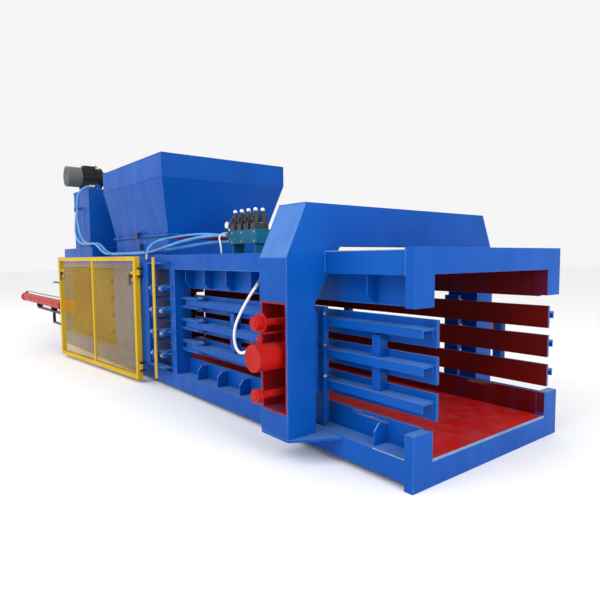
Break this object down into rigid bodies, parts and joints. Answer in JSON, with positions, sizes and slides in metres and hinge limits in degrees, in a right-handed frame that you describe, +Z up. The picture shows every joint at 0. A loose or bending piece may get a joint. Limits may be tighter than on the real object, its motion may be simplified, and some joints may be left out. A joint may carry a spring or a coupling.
{
  "type": "recycling baler",
  "caption": "Horizontal baling press with hopper, long chamber, side-squeeze exit section, box gantry, mesh guard and tail power unit.",
  "frame": {"origin": "on the floor, midway along the machine and on the chamber centre plane", "axes": "+X towards the bale exit, +Y to the far side, +Z up"},
  "size_m": [9.87, 2.506, 2.639],
  "materials": {
    "blue_paint": "gloss paint, worn at the edges",
    "red_paint": "gloss paint, rubbed where the bales slide",
    "dark_steel": "oiled dark steel",
    "rod_chrome": "polished",
    "black_paint": "satin paint",
    "yellow_paint": "gloss paint",
    "black_plastic": "matte",
    "motor_grey": "painted casting",
    "cowl_grey": "satin paint",
    "teal_paint": "gloss paint",
    "blue_hose": "glossy hose cover",
    "white_hose": "matte hose cover"
  },
  "bodies": {
    "machine": {"base_rails": "blue_paint", "chassis_floor": "blue_paint", "cylinder_supports": "black_paint", "exit_roof": "blue_paint", "exit_sill": "blue_paint", "feed_walls": "blue_paint", "floor_bearers": "blue_paint", "floor_liner": "red_paint", "gantry": "blue_paint", "guard_hinges": "black_paint", "hinge_pins": "dark_steel", "hinge_posts": "blue_paint", "hopper": "blue_paint", "hopper_neck": "blue_paint", "hose_pilot": "white_hose", "hose_pressure": "blue_hose", "hose_return": "blue_hose", "hose_squeeze": "white_hose", "hose_tie_unit": "blue_hose", "hydraulic_pump": "motor_grey", "level_sensors": "black_plastic", "limit_switch_bracket": "black_paint", "low_walls": "blue_paint", "main_cylinder_pipes": "dark_steel", "main_cylinders": "red_paint", "mid_deck": "blue_paint", "motor_cowl": "cowl_grey", "motor_housing": "motor_grey", "oil_tank": "blue_paint", "rear_bulkhead": "blue_paint", "rear_deck": "blue_paint", "shear_knife": "dark_steel", "solenoid_valves": "black_plastic", "squeeze_cylinder_far": "red_paint", "squeeze_cylinder_near": "red_paint", "tank_lid": "blue_paint", "tank_plinth": "blue_paint", "tie_column": "blue_paint", "tie_guard_post": "yellow_paint", "top_rails": "blue_paint", "upper_walls": "blue_paint", "valve_manifold": "teal_paint", "wire_brackets": "blue_paint"},
    "ram": {"ram_box": "red_paint", "ram_crosshead": "blue_paint", "ram_shoes": "dark_steel", "piston_rods": "rod_chrome"},
    "side_press_near": {"side_press_near": "blue_paint", "side_press_liner_near": "red_paint"},
    "side_press_far": {"side_press_far": "blue_paint", "side_press_liner_far": "red_paint"},
    "squeeze_rod_near": {"squeeze_rod_near": "red_paint", "guide_rods_near": "red_paint"},
    "squeeze_rod_far": {"squeeze_rod_far": "red_paint", "guide_rods_far": "red_paint"},
    "guard_door": {"guard_frame": "yellow_paint", "guard_mesh": "yellow_paint"},
    "latch_front": {"guard_latch_front": "black_plastic"},
    "latch_rear": {"guard_latch_rear": "black_plastic"},
    "motor_rotor": {"motor_rotor": "motor_grey"}
  },
  "joints": [
    {"name": "ram_slide", "type": "slide", "parent": "machine", "child": "ram", "axis": [1, 0, 0], "range_m": [0, 1.885]},
    {"name": "side_press_near_swing", "type": "hinge", "parent": "machine", "child": "side_press_near", "pos_m": [2.355, -0.679, 0.657], "axis": [0, 0, 1], "range_deg": [0, 1.68]},
    {"name": "side_press_far_swing", "type": "hinge", "parent": "machine", "child": "side_press_far", "pos_m": [2.355, 0.679, 0.657], "axis": [0, 0, -1], "range_deg": [0, 1.68]},
    {"name": "squeeze_rod_near_slide", "type": "slide", "parent": "machine", "child": "squeeze_rod_near", "axis": [0, 1, 0], "range_m": [0, 0.05049]},
    {"name": "squeeze_rod_far_slide", "type": "slide", "parent": "machine", "child": "squeeze_rod_far", "axis": [0, -1, 0], "range_m": [0, 0.05049]},
    {"name": "guard_swing", "type": "hinge", "parent": "machine", "child": "guard_door", "pos_m": [1.485, -0.925, 0.676], "axis": [0, 0, 1], "range_deg": [-4.85, 95]},
    {"name": "latch_front_turn", "type": "hinge", "parent": "guard_door", "child": "latch_front", "pos_m": [1.35447, -0.93608, 1.11], "axis": [0.0845, -0.9964, 0], "range_deg": [0, 90]},
    {"name": "latch_rear_turn", "type": "hinge", "parent": "guard_door", "child": "latch_rear", "pos_m": [-0.61047, -1.1028, 1.11], "axis": [0.0845, -0.9964, 0], "range_deg": [-90, 0]},
    {"name": "motor_spin", "type": "hinge", "parent": "machine", "child": "motor_rotor", "pos_m": [-1.235, -0.55, 2.455], "axis": [0, 1, 0], "continuous": true}
  ],
  "couplings": [
    {"joint": "squeeze_rod_near_slide", "follows": "side_press_near_swing", "m_per_rad": 1.705},
    {"joint": "squeeze_rod_far_slide", "follows": "side_press_far_swing", "m_per_rad": 1.705}
  ]
}
